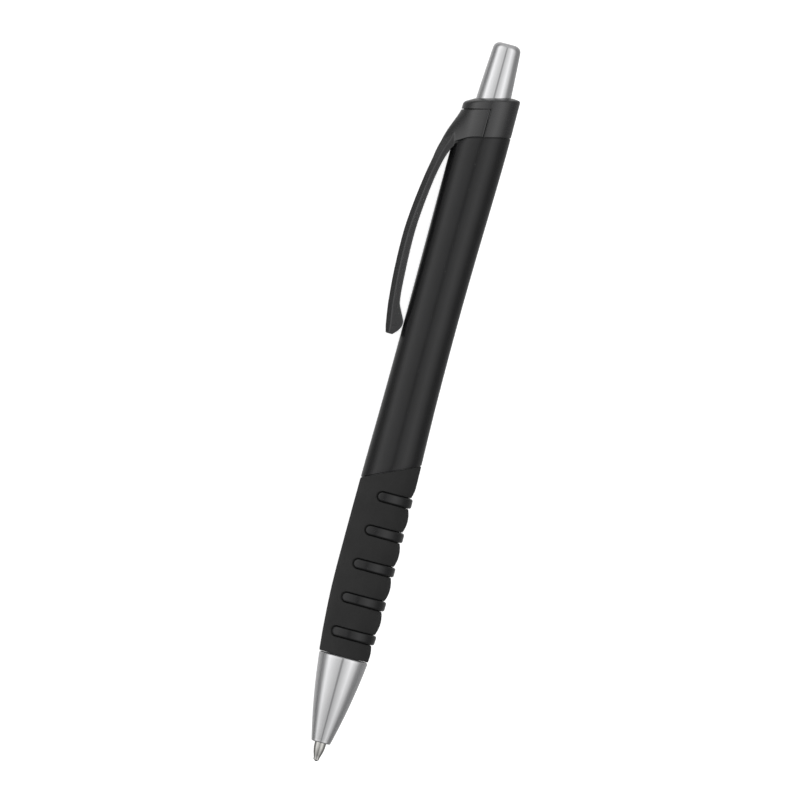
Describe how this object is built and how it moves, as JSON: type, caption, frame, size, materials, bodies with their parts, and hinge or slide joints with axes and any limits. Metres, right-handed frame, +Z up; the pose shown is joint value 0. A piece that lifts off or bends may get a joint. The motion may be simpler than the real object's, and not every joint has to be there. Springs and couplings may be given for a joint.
{
  "type": "retractable ballpoint pen",
  "caption": "Retractable ballpoint pen with a waisted barrel, ribbed rubber grip, chromed nose cone and push button, side clip, and an inner cam, spring and refill.",
  "frame": {"origin": "centre of the pen's box, on the surface that the pen lies on", "axes": "+X runs along the pen toward the writing tip, +Z is up, and the clip points to -Y and a little down, as the pen lies on a desk"},
  "size_m": [0.143, 0.015, 0.0111],
  "materials": {
    "barrel_plastic": "moulded near-black plastic with a soft gloss",
    "grip_rubber": "matte black rubber",
    "chrome": "bright chrome plating",
    "collar_plastic": "satin dark grey plastic",
    "cam_plastic": "natural acetal",
    "rotor_plastic": "cream acetal",
    "spring_steel": "drawn steel wire",
    "nickel_silver": "turned nickel silver",
    "carbide": "polished tungsten carbide",
    "holder_plastic": "natural white plastic",
    "tube_plastic": "milky drawn tube",
    "ink": "black ink paste, as a solid"
  },
  "bodies": {
    "barrel": {"barrel": "barrel_plastic", "grip_sleeve": "grip_rubber", "nose_cone": "chrome", "end_collar": "collar_plastic", "clip_base": "collar_plastic", "cam_sleeve": "cam_plastic", "return_spring": "spring_steel"},
    "button": {"push_button": "chrome", "plunger": "cam_plastic"},
    "refill": {"refill_tip": "nickel_silver", "refill_tip_holder": "holder_plastic", "refill_tube": "tube_plastic", "refill_ink": "ink"},
    "rotor": {"cam_rotor": "rotor_plastic"},
    "ball": {"writing_ball": "carbide"},
    "clip": {"clip_arm": "collar_plastic"}
  },
  "joints": [
    {"name": "button_press", "type": "slide", "parent": "barrel", "child": "button", "axis": [-1, 0, 0], "range_m": [-0.0015, 0.005], "stiffness_N_per_m": 250, "deforming": ["return_spring"]},
    {"name": "refill_slide", "type": "slide", "parent": "barrel", "child": "refill", "axis": [-1, 0, 0], "range_m": [-0.0015, 0.005]},
    {"name": "rotor_turn", "type": "hinge", "parent": "refill", "child": "rotor", "pos_m": [-0.0309, 0.00217, 0.00569], "axis": [-1, 0, 0], "continuous": true},
    {"name": "ball_roll", "type": "hinge", "parent": "refill", "child": "ball", "pos_m": [0.07105, 0.00217, 0.00569], "axis": [0, 0.383, -0.9237], "continuous": true},
    {"name": "clip_flex", "type": "hinge", "parent": "barrel", "child": "clip", "pos_m": [-0.04975, -0.00425, 0.00303], "axis": [0, 0.383, -0.9237], "range_deg": [0, 5], "stiffness_Nm_per_rad": 2}
  ],
  "couplings": [
    {"joint": "refill_slide", "follows": "button_press", "ratio": 1}
  ]
}
